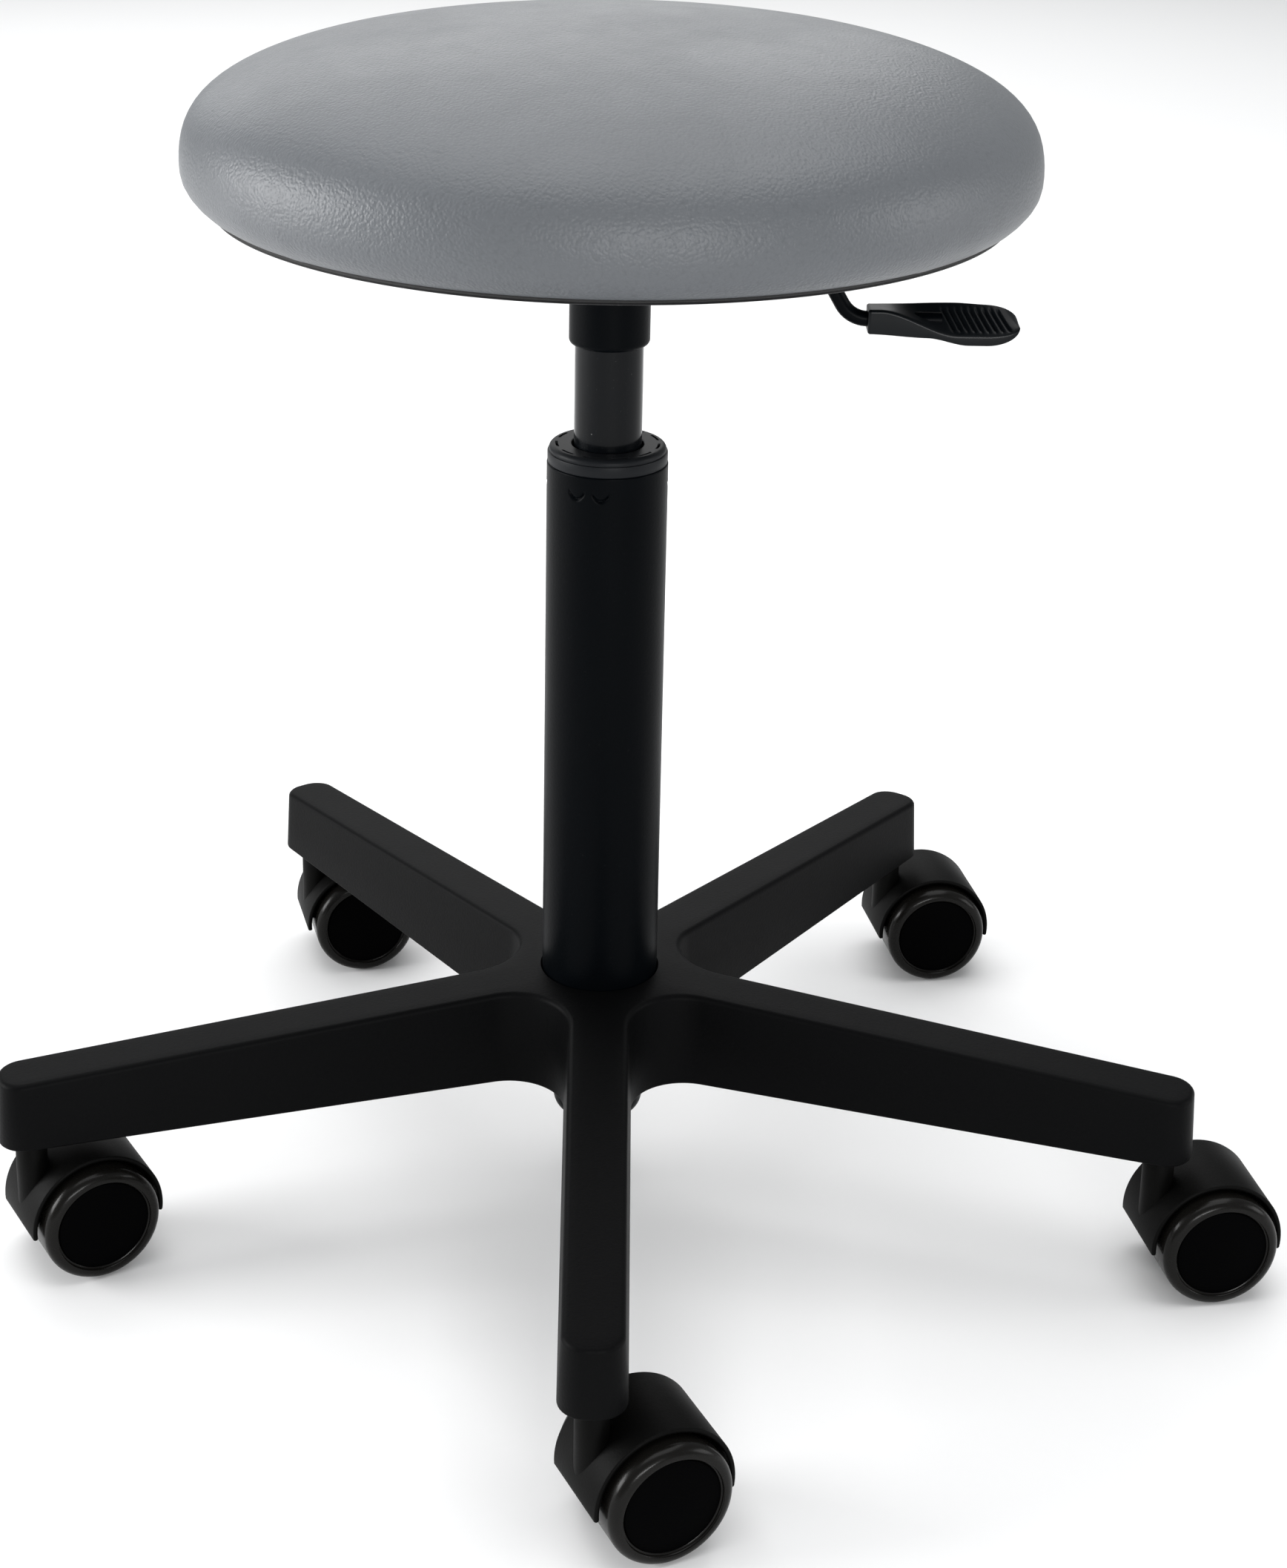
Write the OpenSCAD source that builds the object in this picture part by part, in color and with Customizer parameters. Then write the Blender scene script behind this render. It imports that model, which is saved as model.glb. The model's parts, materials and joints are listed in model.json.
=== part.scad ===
// Swivel stool with a round padded seat, a gas lift and a five-star base on
// hooded twin-wheel casters. +Z is up, Z = 0 is the floor and the column's
// axis is X = Y = 0. The lift is drawn part-way down, as it stands at rest.

/* [Seat] */
// Widest diameter of the padded seat
seat_d = 340; // [320:5:360]
// Diameter of the seat's lower rim
seat_rim_d = 318; // [300:2:320]
// Height of the seat's underside above the floor
seat_z = 445; // [440:1:450]
// Thickness of the seat, underside to crown
seat_h = 71; // [60:1:90]
// Height of the widest line above the underside
seat_bulge_h = 14.5; // [10:0.5:20]
// Thickness of the vinyl cover
cover_t = 1.2; // [1:0.1:2]
// Thickness of the plywood board
board_t = 12; // [9:1:15]

/* [Gas lift] */
// Outer diameter of the column tube
column_d = 50; // [50:1:51]
// Outer diameter of the pressure cylinder
cylinder_d = 28; // [28:0.5:28.5]
// Height of the column tube's top end
column_top = 336.5; // [330:0.5:340]
// Height of the column tube's lower end
column_foot = 34; // [30:1:36]
// Outer diameter of the closed lower end
foot_d = 39; // [38:1:40]
// Height of the guide sleeve's cap above the tube
cap_h = 7.5; // [6:0.5:8]
// Height of the collar's lower edge at rest
collar_z = 386.5; // [386:0.5:390]
// Outer diameter of the collar
collar_d = 33; // [32:0.5:34]

/* [Base] */
// Height of the hub's top face
hub_top = 104.5; // [102:0.5:107]
// Height of the arms' underside
arm_under = 61.5; // [61:0.5:63]
// Reach of an arm's tip from the column's axis
arm_reach = 260; // [255:1:270]
// Height of the top face at an arm's tip
tip_top = 91; // [89:0.5:94]
// Width of an arm's top at the hub
arm_top_w = 25.4; // [24:0.2:27]
// Width of an arm's top at the tip
tip_top_w = 23.6; // [22:0.2:25]
// Width of an arm's foot at the hub
arm_foot_w = 30; // [28:0.5:31]
// Width of an arm's foot at the tip
tip_foot_w = 26; // [25:0.5:28]
// Radius of the webs between the arms
web_r = 25; // [20:1:30]

/* [Casters] */
// Wheel diameter
wheel_d = 50; // [49:0.5:50]
// Width over both wheels
caster_w = 51; // [50:0.5:53]
// Distance from the swivel axis back to the axle
trail = 21.5; // [21:0.5:23]
// Outer radius of the hood
hood_r = 28.5; // [28.5:0.5:30]
// Width of the hood
hood_w = 37; // [35:1:40]
// Distance of the swivel axes from the column's axis
stem_reach = 248; // [246:1:249]
// Diameter of the stem in the arm
stem_d = 11; // [10.5:0.5:11]
// Direction that each caster trails in at rest, degrees from +X
caster_turn = [25, 10, 10, 15, 30]; // [0:5:355]

/* [Lever] */
// Height of the lever's pivot at rest
lever_z = 425; // [424:1:426]
// Height of the paddle's middle line at rest
paddle_z = 398.5; // [397:0.5:400]
// Distance of the paddle's root from the column's axis
paddle_x = 104; // [100:1:108]
// Length of the paddle
paddle_l = 62; // [55:1:64]
// Diameter of the lever rod
lever_d = 6.4; // [6:0.2:6.6]

/* [Hidden] */
$fn = 64;
ARMS = 5;
SIDES = ["a", "b"];

// Seat stack, from the underside up
dust_t = 1.8;
cover_z = seat_z + dust_t;
board_z = cover_z + cover_t;
board_r = seat_rim_d / 2 - 5;
seat_top = seat_z + seat_h;
crown_power = 3.2;
bolt_x = 60;
bolt_d = 6;
nut_d = 8.4;
nut_flange_d = 19;
nut_flange_t = 1.4;

// Seat plate, a pressed sheet under the board
plate_size = 150;
plate_t = 2.5;
plate_skirt = 8;
plate_corner = 14;
plate_z = seat_z - plate_t;

// Lift stack
wall = 1.5;
cone_top = 416;
cone_slope = tan(1.43);
cone_r = cylinder_d / 2 - (cone_top - collar_z) * cone_slope;
cylinder_foot = 100;
cylinder_bore = 12.5;
rod_r = 5;
rod_neck_r = 4.25;
plug_r = 12.45;
washer_t = 1.5;
ball_r = 2.5;
ball_ring_r = 9.5;
balls = 8;
floor_t = 3;
rod_shoulder = column_foot + floor_t + 2 * washer_t + 2 * ball_r;
piston_z = 228;
piston_h = 12;
sleeve_h = 72;
slots = 11;
slot_a = 19;
slot_from = -52.5;
pin_r = 3;
pin_gap = 0.5;
pin_top = lever_z - lever_d / 2 - pin_gap;

// Lever
pivot_x = 26;
pivot_r = 2.5;
bend_r = 12;
bend_a = 60;
bend_lap = 0.05;
drop = lever_z - paddle_z;
slant = (drop - 2 * bend_r * (1 - cos(bend_a))) / sin(bend_a);
bend_x = paddle_x - 2 * bend_r * sin(bend_a) - slant * cos(bend_a);

// Base
hub_r = 27.2;
hub_foot = arm_under - 0.5;
arm_start = 24;
tip_r = 10;
arm_slope = atan((hub_top - tip_top) / (arm_reach - arm_start));
arm_draft = atan((arm_foot_w - arm_top_w + tip_foot_w - tip_top_w) / 2 / (hub_top + tip_top - 2 * arm_under));
arm_taper = atan((arm_foot_w - tip_foot_w) / 2 / arm_reach);
web_in = arm_top_w / 2 - 0.7;
web_c = (web_in + web_r) / sin(36);
web_out = sqrt(pow(web_c * cos(36), 2) + web_in * web_in);
web_foot = arm_under + 0.4;
web_top = hub_top - (web_out - arm_start) * tan(arm_slope) - 0.3;
arm_wall = 3.5;
pocket_end = stem_reach - 15;
socket_h = 24;

// Casters
wheel_r = wheel_d / 2;
hood_t = 2;
disc_r = 20.9;
web_half = 3.5;
wheel_in = 4.3;
wheel_out = caster_w / 2;
shoulder_r = 4.1;
axle_r = 3;
axle_half = 21;
neck_r = 7;
neck_top = arm_under - 2;
stem_neck_r = 4;
stem_foot = 47;

function seat_half(r_max, r_low, z_low, z_mid, z_top) = concat(
    [for (i = [0:5]) let (a = 90 * i / 6)
        [r_low + (r_max - r_low) * sin(a), z_low + (z_mid - z_low) * i / 6]],
    [for (i = [0:15]) let (u = sin(90 * i / 16))
        [r_max * sqrt(1 - pow(u, crown_power)), z_mid + (z_top - z_mid) * u]],
    [[0, z_top]]);

function arm_at(k) = -90 + 72 * (k - 1);

// ---- Seat ----

module seat_cover() {
    mid = seat_z + seat_bulge_h;
    color("#6d7279") rotate_extrude($fn = 96) polygon(concat(
        [[board_r - 14, cover_z]],
        seat_half(seat_d / 2, seat_rim_d / 2, cover_z, mid, seat_top),
        [for (i = [22:-1:0]) seat_half(seat_d / 2 - cover_t, seat_rim_d / 2 - cover_t,
                                       board_z, mid, seat_top - cover_t)[i]],
        [[board_r - 14, board_z]]));
}

module seat_foam() {
    gap = cover_t + 0.05;
    mid = seat_z + seat_bulge_h;
    color("#e8dfae") difference() {
        rotate_extrude($fn = 96) polygon(concat([[0, board_z + 0.05]],
            seat_half(seat_d / 2 - gap, seat_rim_d / 2 - gap, board_z + 0.05, mid, seat_top - gap)));
        translate([0, 0, board_z - 1]) cylinder(h = board_t + 1.05, r = board_r + 0.1);
        at_bolts() translate([0, 0, board_z + board_t - 1])
            cylinder(h = 1 + nut_flange_t + 0.1, d = nut_flange_d + 0.4);
        at_bolts() translate([0, 0, board_z + board_t - 1]) cylinder(h = 4, d = bolt_d + 1);
    }
}

module seat_board() {
    color("#c9a26b") difference() {
        translate([0, 0, board_z + 0.02]) cylinder(h = board_t - 0.02, r = board_r);
        at_bolts() translate([0, 0, board_z - 1]) cylinder(h = board_t + 2, d = nut_d);
    }
}

module dust_cover() {
    color("#151517") difference() {
        translate([0, 0, seat_z]) cylinder(h = dust_t, r = seat_rim_d / 2 - 0.6);
        at_bolts() translate([0, 0, seat_z - 1]) cylinder(h = dust_t + 2, d = bolt_d + 1);
    }
}

module at_bolts() {
    for (x = [-1, 1], y = [-1, 1]) translate([x * bolt_x, y * bolt_x, 0]) children();
}

module t_nuts() {
    top = board_z + board_t;
    color("#b9bcc0") at_bolts() difference() {
        union() {
            translate([0, 0, board_z + 1]) cylinder(h = board_t - 1, d = nut_d - 0.02);
            translate([0, 0, top]) cylinder(h = nut_flange_t, d = nut_flange_d);
        }
        translate([0, 0, board_z]) cylinder(h = board_t + 4, d = bolt_d + 0.04);
    }
}

module plate_bolts() {
    color("#9a9da1") at_bolts() difference() {
        union() {
            translate([0, 0, plate_z - 4.4]) cylinder(h = 4.4, d = 11);
            translate([0, 0, plate_z - 1]) cylinder(h = board_z + board_t - plate_z + 1, d = bolt_d);
        }
        translate([0, 0, plate_z - 5]) cylinder(h = 3, d = 5.8, $fn = 6);
    }
}

module rounded_square(size, r) {
    side = size - 2 * r;
    square([size, side], center = true);
    square([side, size], center = true);
    for (x = [-1, 1], y = [-1, 1]) translate([x * side / 2, y * side / 2]) circle(r);
}

module seat_plate() {
    color("#1b1b1d") difference() {
        translate([0, 0, plate_z - plate_skirt]) linear_extrude(plate_skirt + plate_t)
            rounded_square(plate_size, plate_corner);
        translate([0, 0, plate_z - plate_skirt - 1]) linear_extrude(plate_skirt + 1)
            rounded_square(plate_size - 2 * plate_t, plate_corner - plate_t);
        at_bolts() translate([0, 0, plate_z - 1]) cylinder(h = plate_t + 2, d = bolt_d + 0.5);
        translate([plate_size / 2 - 5, -7, plate_z - plate_skirt - 1]) cube([10, 14, plate_skirt - 1]);
    }
    // Two ears carry the lever's pivot
    color("#1b1b1d") for (s = [-1, 1]) translate([pivot_x, s * 7.2, 0]) difference() {
        translate([-6, -1.5, lever_z - 6]) cube([12, 3, plate_z - lever_z + 6.01]);
        translate([0, -5, lever_z]) rotate([-90, 0, 0]) cylinder(h = 10, r = pivot_r);
    }
}

module socket_tube() {
    r = collar_d / 2;
    color("#17181a") difference() {
        rotate_extrude() polygon(concat(
            [[cylinder_d / 2 + 0.02, collar_z]],
            [for (a = [0:15:90]) [r - 2.2 + 2.2 * sin(a), collar_z + 2.2 - 2.2 * cos(a)]],
            [[r, plate_z], [12, plate_z], [12, cone_top + 2], [cone_r + 0.02, cone_top + 2],
             [cone_r + 0.02, cone_top]]));
        translate([0, -5.5, lever_z - 5.8]) cube([30, 11, 14.8]);
    }
}

// ---- Lever ----

// One bend of the rod about (x, z), from angle a0 on
module lever_bend(x, z, a0) {
    translate([x, 0, z]) rotate([90, 0, 0]) rotate([0, 0, a0])
        rotate_extrude(angle = bend_a) translate([bend_r, 0]) circle(d = lever_d);
}

// The straights are a hair thinner than the bends and reach just into them
module lever_straight(x, z, tilt, l) {
    translate([x, 0, z]) rotate([0, 90 + tilt, 0]) translate([0, 0, -bend_lap])
        cylinder(h = l + 2 * bend_lap, d = lever_d - 0.04);
}

module lever_rod() {
    bend_z = lever_z - bend_r * (1 - cos(bend_a));
    color("#1d1f22") difference() {
        union() {
            lever_straight(-1, lever_z, 0, bend_x + 1);
            lever_bend(bend_x, lever_z - bend_r, 90 - bend_a);
            lever_straight(bend_x + bend_r * sin(bend_a), bend_z, bend_a, slant);
            lever_bend(paddle_x, paddle_z + bend_r, 270 - bend_a);
            lever_straight(paddle_x, paddle_z, 0, 30);
            translate([pivot_x, -4.5, lever_z]) rotate([-90, 0, 0]) cylinder(h = 9, r = 5.2);
        }
        translate([pivot_x, -10, lever_z]) rotate([-90, 0, 0]) cylinder(h = 20, r = pivot_r + 0.05);
    }
}

module lever_pivot_pin() {
    color("#a5a8ad") translate([pivot_x, -10, lever_z]) rotate([-90, 0, 0]) {
        cylinder(h = 20, r = pivot_r);
        translate([0, 0, -1.5]) cylinder(h = 2, r = 4);
        translate([0, 0, 19.5]) cylinder(h = 1.5, r = 3.4);
    }
}

module lever_paddle() {
    depth = 13;
    front = -7;
    tip = paddle_x + paddle_l;
    color("#2c3035") difference() {
        hull() {
            translate([paddle_x, front, paddle_z - 6.5]) cube([4, depth, 13]);
            translate([tip - 9.5, front + depth, paddle_z - 1.6]) rotate([90, 0, 0])
                cylinder(h = depth, r = 8.6, $fn = 32);
            translate([tip - 30, front, paddle_z - 9]) cube([4, depth, 17]);
        }
        translate([paddle_x - 1, 0, paddle_z]) rotate([0, 90, 0]) cylinder(h = 31.2, d = lever_d + 0.02);
        // Sloping thumb face
        translate([paddle_x + 18, front, paddle_z + 1]) rotate([38, 0, 8])
            translate([0, -8, 0]) cube([60, 8, 20]);
    }
}

// ---- Gas lift ----

module pressure_cylinder() {
    r = cylinder_d / 2;
    color("#1f2124") rotate_extrude() polygon([
        [6, cylinder_foot], [r - 1.5, cylinder_foot], [r, cylinder_foot + 1.5], [r, collar_z],
        [cone_r, cone_top], [4, cone_top], [4, cone_top - 2], [cylinder_bore, cone_top - 2],
        [cylinder_bore, cylinder_foot + 2], [6, cylinder_foot + 2]]);
}

module ring(z, h, r_in, r_out) {
    translate([0, 0, z]) difference() {
        cylinder(h = h, r = r_out);
        translate([0, 0, -1]) cylinder(h = h + 2, r = r_in);
    }
}

module rod_guide() {
    color("#d8d4c4") ring(cylinder_foot + 2.2, 18, rod_r + 0.05, plug_r);
}

module valve_body() {
    z = cone_top - 24;
    color("#c8a34a") translate([0, 0, z]) difference() {
        cylinder(h = 21.8, r = plug_r - 0.05);
        translate([0, 0, 2]) cylinder(h = 30, r = pin_r + 0.05);
    }
}

module release_pin() {
    color("#c9ccd0") translate([0, 0, cone_top - 17]) cylinder(h = pin_top - cone_top + 17, r = pin_r);
}

module piston() {
    color("#8d9095") ring(piston_z, piston_h, rod_r + 0.01, cylinder_bore - 0.06);
}

module piston_rod() {
    color("#d4d6d9") rotate_extrude() polygon([
        [0, column_foot - 4], [rod_neck_r - 0.6, column_foot - 4], [rod_neck_r, column_foot - 3.4],
        [rod_neck_r, column_foot - 2.4], [rod_neck_r - 0.7, column_foot - 2.4],
        [rod_neck_r - 0.7, column_foot - 1], [rod_neck_r, column_foot - 1],
        [rod_neck_r, rod_shoulder], [rod_r, rod_shoulder], [rod_r, piston_z + piston_h],
        [0, piston_z + piston_h]]);
}

module upper_washer() {
    color("#b4b7bb") ring(rod_shoulder - washer_t, washer_t - 0.02, rod_neck_r + 0.04, 14);
}

module rubber_buffer() {
    color("#202020") ring(rod_shoulder + 0.5, 12, rod_r + 0.02, 11);
}

module rod_clip() {
    color("#8a8d92") ring(column_foot - 2.3, 1.2, rod_neck_r - 0.68, 7.5);
}

module column_tube() {
    r = column_d / 2;
    r_hub = r - (hub_top - arm_under) * cone_slope;
    fr = foot_d / 2;
    arc_r = 7;
    inner = arc_r - wall;
    color("#232427") difference() {
        rotate_extrude($fn = 96) polygon(concat(
            [[rod_neck_r + 0.1, column_foot]],
            [for (a = [0:15:90]) [fr - arc_r + arc_r * sin(a), column_foot + arc_r - arc_r * cos(a)]],
            [[fr, arm_under - 8], [r_hub, arm_under - 1], [r_hub, arm_under],
             [r, hub_top], [r, column_top - 0.6], [r - 0.6, column_top], [r - wall, column_top],
             [r - wall, hub_top], [r_hub - wall, arm_under], [r_hub - wall, arm_under - 0.4],
             [fr - wall, arm_under - 7.4]],
            [for (a = [90:-15:0]) [fr - wall - inner + inner * sin(a),
                                   column_foot + floor_t + inner - inner * cos(a)]],
            [[rod_neck_r + 0.1, column_foot + floor_t]]));
        // Crimps that hold the guide sleeve
        for (a = [-120, -96, 0, 90, 180]) rotate([0, 0, a]) translate([r + 1.1, 0, column_top - 8])
            rotate([0, 90, 0]) cylinder(h = 4, r1 = 1.4, r2 = 5, center = true);
    }
}

module guide_sleeve() {
    r = column_d / 2;
    z = column_top;
    top = z + cap_h;
    bore = cylinder_d / 2 + 0.06;
    color("#3a3c40") difference() {
        rotate_extrude($fn = 96) polygon(concat(
            [[bore, z - sleeve_h], [r - wall - 0.03, z - sleeve_h], [r - wall - 0.03, z],
             [r - 0.2, z], [r - 0.2, z + 4.6], [r - 0.7, z + 4.8], [r - 0.7, z + 5]],
            [for (a = [0:15:90]) [r - 3.2 + 2.5 * cos(a), top - 2.5 + 2.5 * sin(a)]],
            [[cylinder_d / 2 + 0.8, top], [cylinder_d / 2 + 0.8, top - 4], [bore, top - 4]]));
        // Slots round the cap's flat top
        for (k = [1:slots]) rotate([0, 0, slot_from + 360 * k / slots]) translate([0, 0, top - 1.2])
            rotate_extrude(angle = slot_a) translate([20.6, 0]) square([0.9, 2]);
    }
}

module lower_washer() {
    color("#b4b7bb") ring(column_foot + floor_t, washer_t, rod_neck_r + 0.15, 12.4);
}

module bearing_balls() {
    color("#cfd2d6") for (k = [0:balls - 1]) rotate([0, 0, 360 * k / balls])
        translate([ball_ring_r, 0, column_foot + floor_t + washer_t + ball_r]) sphere(r = ball_r - 0.01);
}

// ---- Base ----

// Plan of an arm's foot: straight sides from the hub, round corners at the tip
function arm_plan(w_hub, w_tip, corner, reach) = concat(
    [[12, -w_hub / 2]],
    [for (a = [-90:15:0]) [reach - corner + corner * cos(a), -w_tip / 2 + corner + corner * sin(a)]],
    [for (a = [0:15:90]) [reach - corner + corner * cos(a), w_tip / 2 - corner + corner * sin(a)]],
    [[12, w_hub / 2]]);

// The sides lean in towards the sloping top face
module arm() {
    intersection() {
        translate([0, 0, arm_under]) linear_extrude(hub_top - arm_under - 0.05)
            polygon(arm_plan(arm_foot_w, tip_foot_w, tip_r, arm_reach));
        translate([arm_start, 0, hub_top]) rotate([0, arm_slope, 0]) translate([-40, -40, -80])
            cube([arm_reach + 40, 80, 80]);
        for (s = [-1, 1]) scale([1, s, 1]) translate([0, arm_foot_w / 2, arm_under])
            rotate([arm_draft, 0, -arm_taper]) translate([-40, -60, -10]) cube([arm_reach + 80, 60, 100]);
    }
}

// The underside of each arm is a channel
module arm_pocket() {
    w = tip_foot_w - 2 * arm_wall - 1;
    translate([arm_start, 0, hub_top - arm_wall]) rotate([0, arm_slope, 0])
        translate([34, -w / 2, -60]) cube([pocket_end - arm_start - 34, w, 60]);
}

module star_base() {
    r = column_d / 2;
    r_low = r - (hub_top - arm_under) * cone_slope;
    color("#2a2b2d") difference() {
        union() {
            translate([0, 0, hub_foot]) cylinder(h = hub_top - hub_foot, r = hub_r);
            difference() {
                translate([0, 0, web_foot]) cylinder(h = web_top - web_foot, r = web_out);
                for (k = [1:ARMS]) rotate([0, 0, arm_at(k) + 36]) translate([web_c, 0, 0])
                    cylinder(h = 200, r = web_r);
            }
            for (k = [1:ARMS]) rotate([0, 0, arm_at(k)]) arm();
        }
        translate([0, 0, arm_under]) cylinder(h = hub_top - arm_under, r1 = r_low, r2 = r);
        translate([0, 0, arm_under - 5]) cylinder(h = 5.01, r = r_low);
        translate([0, 0, hub_top - 1.5]) cylinder(h = 5, r = r + 0.8);
        for (k = [1:ARMS]) rotate([0, 0, arm_at(k)]) {
            arm_pocket();
            translate([stem_reach, 0, arm_under - 5]) cylinder(h = socket_h + 5, d = stem_d + 0.1);
        }
    }
}

// ---- Casters ----

module at_caster(k) {
    rotate([0, 0, arm_at(k)]) translate([stem_reach, 0, 0])
        rotate([0, 0, caster_turn[k - 1] - arm_at(k)]) children();
}

module caster_stems() {
    r = stem_d / 2;
    color("#b8bbc0") for (k = [1:ARMS]) at_caster(k) rotate_extrude() polygon([
        [0, stem_foot], [stem_neck_r, stem_foot], [stem_neck_r, arm_under - 1.6], [7, arm_under - 1.6],
        [7, arm_under - 0.02], [r, arm_under - 0.02], [r, arm_under + 15], [r - 0.9, arm_under + 15],
        [r - 0.9, arm_under + 17], [r, arm_under + 17], [r, arm_under + 20.5], [r - 1.5, arm_under + 22],
        [0, arm_under + 22]]);
}

module grip_rings() {
    r = stem_d / 2;
    color("#8f9297") for (k = [1:ARMS]) at_caster(k) difference() {
        ring(arm_under + 15.1, 1.8, r - 0.88, r + 0.03);
        translate([0, -1, arm_under + 10]) cube([10, 2, 10]);
    }
}

// A cylinder along the axle, from y = -half to half
module across(r, half) {
    translate([trail, half, wheel_r]) rotate([90, 0, 0]) cylinder(h = 2 * half, r = r);
}

module caster_housing(k) {
    inner = hood_r - hood_t;
    color("#222325") at_caster(k) difference() {
        union() {
            difference() {
                union() {
                    across(hood_r, hood_w / 2);
                    cylinder(h = neck_top, r = neck_r);
                }
                across(inner, hood_w);
                // The hood ends just below the axle, lower in front than behind
                translate([trail - 60, -40, -30]) cube([60, 80, wheel_r + 28]);
                translate([trail, -40, -30]) cube([60, 80, wheel_r + 26]);
            }
            difference() {
                across(inner + 0.5, web_half);
                translate([trail - 60, -40, -30]) cube([120, 80, wheel_r + 26]);
            }
            across(7.5, web_half);
        }
        translate([0, 0, stem_foot - 0.6]) cylinder(h = 40, r = stem_neck_r + 0.05);
        across(axle_r + 0.01, 40);
    }
}

module caster_axle(k) {
    color("#c4c6ca") at_caster(k) across(axle_r, axle_half);
}

// Points of a wheel's half section: [radius, distance from the caster's middle]
module wheel_part(k, side) {
    at_caster(k) translate([trail, 0, wheel_r]) rotate([side == "a" ? 90 : -90, 0, 0])
        rotate_extrude($fn = 96) children();
}

module wheel_tyre(k, side) {
    color("#4a4d52") wheel_part(k, side) polygon(concat(
        [[disc_r - 1.4, wheel_in], [wheel_r - 1.5, wheel_in], [wheel_r, wheel_in + 1.5]],
        [for (a = [0:15:90]) [wheel_r - shoulder_r + shoulder_r * cos(a),
                              wheel_out - shoulder_r + shoulder_r * sin(a)]],
        [[disc_r - 0.9, wheel_out - 0.9], [disc_r - 1.4, wheel_out - 1.2]]));
}

module wheel_disc(k, side) {
    rim = disc_r - 1.44;
    color("#161618") wheel_part(k, side) polygon(concat(
        [[axle_r + 0.05, wheel_in], [7, wheel_in], [7, wheel_out - 3.5], [rim - 2, wheel_out - 3.5],
         [rim - 2, wheel_in], [rim, wheel_in], [rim, wheel_out - 1.1]],
        [for (i = [0:4]) [rim * (1 - i / 4), wheel_out - 1 + 1.2 * sin(22.5 * i)]],
        [[0, axle_half + 0.1], [axle_r + 0.05, axle_half + 0.1]]));
}

seat_cover();
seat_foam();
seat_board();
dust_cover();
t_nuts();
seat_plate();
plate_bolts();
socket_tube();
lever_rod();
lever_paddle();
lever_pivot_pin();
pressure_cylinder();
rod_guide();
valve_body();
release_pin();
piston();
piston_rod();
upper_washer();
rubber_buffer();
rod_clip();
column_tube();
guide_sleeve();
lower_washer();
bearing_balls();
star_base();
caster_stems();
grip_rings();
for (k = [1:ARMS]) {
    caster_housing(k);
    caster_axle(k);
    for (s = SIDES) {
        wheel_tyre(k, s);
        wheel_disc(k, s);
    }
}
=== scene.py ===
"""Swivel stool with a padded vinyl seat, a gas lift and a five-star base on hooded twin-wheel casters.

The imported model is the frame. Shapes are worked out in millimetres and built in metres.
"""

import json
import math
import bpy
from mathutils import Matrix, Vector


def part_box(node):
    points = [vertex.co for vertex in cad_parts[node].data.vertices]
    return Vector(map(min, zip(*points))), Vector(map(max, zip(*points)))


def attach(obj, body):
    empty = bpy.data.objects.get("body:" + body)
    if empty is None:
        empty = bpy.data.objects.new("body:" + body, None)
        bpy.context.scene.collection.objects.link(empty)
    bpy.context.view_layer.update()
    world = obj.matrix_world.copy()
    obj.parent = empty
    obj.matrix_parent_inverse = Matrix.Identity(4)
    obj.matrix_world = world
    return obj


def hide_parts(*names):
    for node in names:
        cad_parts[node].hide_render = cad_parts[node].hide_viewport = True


bl_info = {
    "name": "Swivel Stool",
    "version": (1, 0, 0),
    "blender": (4, 5, 0),
    "location": "View3D > Sidebar > Stool",
    "description": "Makes the looks of a gas-lift swivel stool around its packed model",
    "category": "Object",
}

import bmesh
import bpy
from bpy.props import FloatProperty, FloatVectorProperty, PointerProperty
from mathutils import Matrix, Vector
from mathutils.geometry import delaunay_2d_cdt

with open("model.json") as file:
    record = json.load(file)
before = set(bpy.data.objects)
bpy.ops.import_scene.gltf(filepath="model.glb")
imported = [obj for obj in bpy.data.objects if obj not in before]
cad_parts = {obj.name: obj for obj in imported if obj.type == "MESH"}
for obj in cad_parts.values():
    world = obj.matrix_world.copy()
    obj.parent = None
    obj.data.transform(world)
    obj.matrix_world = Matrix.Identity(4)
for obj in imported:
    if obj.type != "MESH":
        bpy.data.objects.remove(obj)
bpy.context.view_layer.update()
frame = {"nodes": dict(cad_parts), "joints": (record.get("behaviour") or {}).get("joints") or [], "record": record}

MM = 0.001
NODES = frame["nodes"]
JOINTS = {joint["name"]: joint for joint in frame["joints"]}
ARMS = 5
ARM_STEP = 360 / ARMS
SIDES = {"a": -1, "b": 1}


# ---- Numbers from the frame, in millimetres ----

def corners(node):
    low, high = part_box(node)
    return low / MM, high / MM


SEAT_LOW, SEAT_HIGH = corners("seat_cover")
CLOTH_LOW, CLOTH_HIGH = corners("dust_cover")
TUBE_LOW, TUBE_HIGH = corners("column_tube")
SLEEVE_LOW, SLEEVE_HIGH = corners("guide_sleeve")
PADDLE_LOW = corners("lever_paddle")[0]
HUB_TOP = corners("star_base")[1].z
STEM_DEPTH = 22
ARM_UNDER = corners("caster_stems")[1].z - STEM_DEPTH
TUBE_R = TUBE_HIGH.x
TAPER = (HUB_TOP - ARM_UNDER) * math.tan(math.radians(1.43))
CYLINDER_R = corners("pressure_cylinder")[1].x
WHEEL_R = corners("wheel_tyre_1a")[1].z / 2


def caster_place(k):
    """Swivel axis on the floor as origin, +X towards the axle; and the distance to the axle."""
    pivot = Vector(JOINTS[f"caster_swivel_{k}"]["pos_m"]) / MM
    axle = Vector(JOINTS[f"wheel_spin_{k}a"]["pos_m"]) / MM
    trail = Vector((axle.x - pivot.x, axle.y - pivot.y, 0))
    turn = Matrix.Rotation(math.atan2(trail.y, trail.x), 4, "Z")
    return Matrix.Translation((pivot.x, pivot.y, 0)) @ turn, trail.length


# ---- Small sums ----

def blend(a, b, t):
    return a + (b - a) * t


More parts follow.
